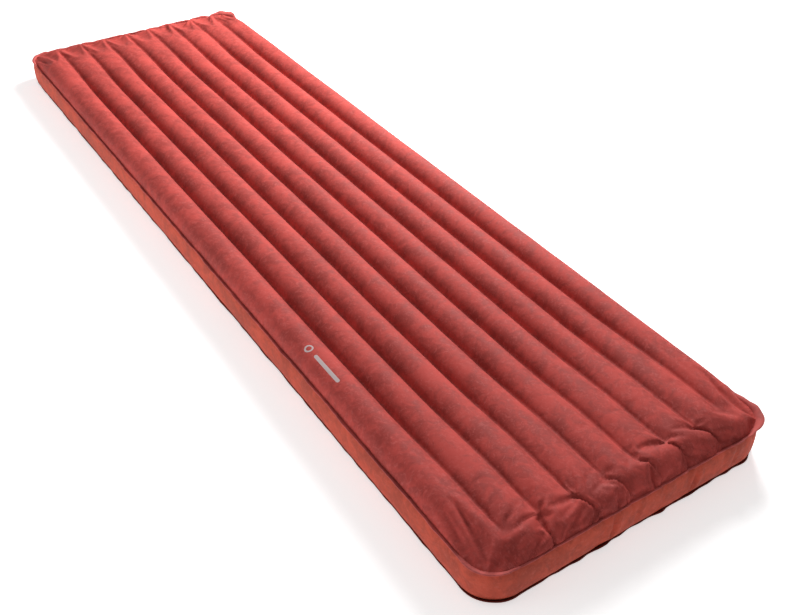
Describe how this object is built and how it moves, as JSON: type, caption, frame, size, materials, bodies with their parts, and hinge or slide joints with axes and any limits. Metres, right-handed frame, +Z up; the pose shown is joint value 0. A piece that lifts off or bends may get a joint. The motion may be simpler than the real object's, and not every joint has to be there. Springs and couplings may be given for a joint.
{
  "type": "inflatable sleeping pad",
  "caption": "Inflated rectangular sleeping pad of lengthwise air tubes with a side band, internal baffles, loft and two capped air valves at the head end.",
  "frame": {"origin": "on the ground, in the middle of the underside, under the middle tube", "axes": "+Y along the pad towards the head end with the valves, +Z up, +X across the pad"},
  "size_m": [0.556, 1.923, 0.09],
  "materials": {
    "top_fabric": "fine peached polyester, soft sheen, mottled",
    "side_fabric": "fine peached polyester, soft sheen",
    "base_fabric": "plain coated polyester, matt",
    "baffle_fabric": "thin coated fabric",
    "loft": "soft fibre loft",
    "valve_plastic": "fine moulded satin",
    "cap_plastic": "fine moulded satin",
    "seal_rubber": "smooth silicone rubber"
  },
  "bodies": {
    "pad": {"top_panel": "top_fabric", "bottom_panel": "base_fabric", "side_band": "side_fabric", "head_band": "side_fabric", "band_join_strips": "side_fabric", "baffle_1": "baffle_fabric", "baffle_2": "baffle_fabric", "baffle_3": "baffle_fabric", "baffle_4": "baffle_fabric", "baffle_5": "baffle_fabric", "baffle_6": "baffle_fabric", "baffle_7": "baffle_fabric", "baffle_8": "baffle_fabric", "insulation_1": "loft", "insulation_2": "loft", "insulation_3": "loft", "insulation_4": "loft", "insulation_5": "loft", "insulation_6": "loft", "insulation_7": "loft", "insulation_8": "loft", "insulation_9": "loft", "inflate_valve_base": "valve_plastic", "inflate_valve_grid": "valve_plastic", "deflate_valve_base": "valve_plastic", "deflate_valve_grid": "valve_plastic"},
    "inflate_collar": {"inflate_cap_collar": "valve_plastic"},
    "inflate_lid": {"inflate_cap": "valve_plastic", "inflate_cap_seal": "seal_rubber"},
    "inflate_flap": {"inflate_valve_flap": "seal_rubber"},
    "deflate_collar": {"deflate_cap_collar": "valve_plastic"},
    "deflate_lid": {"deflate_cap": "cap_plastic", "deflate_cap_seal": "seal_rubber"}
  },
  "joints": [
    {"name": "inflate_collar_swivel", "type": "hinge", "parent": "pad", "child": "inflate_collar", "pos_m": [-0.12, 0.9572, 0.0315], "axis": [0, 1, 0], "continuous": true},
    {"name": "inflate_cap_hinge", "type": "hinge", "parent": "inflate_collar", "child": "inflate_lid", "pos_m": [-0.12, 0.9606, 0.0515], "axis": [1, 0, 0], "range_deg": [0, 140]},
    {"name": "inflate_flap_hinge", "type": "hinge", "parent": "pad", "child": "inflate_flap", "pos_m": [-0.12, 0.9478, 0.045], "axis": [-1, 0, 0], "range_deg": [0, 35], "stiffness_Nm_per_rad": 0.0004},
    {"name": "deflate_collar_swivel", "type": "hinge", "parent": "pad", "child": "deflate_collar", "pos_m": [0.12, 0.9572, 0.0315], "axis": [0, 1, 0], "continuous": true},
    {"name": "deflate_cap_hinge", "type": "hinge", "parent": "deflate_collar", "child": "deflate_lid", "pos_m": [0.12, 0.9606, 0.0515], "axis": [1, 0, 0], "range_deg": [0, 140]}
  ]
}
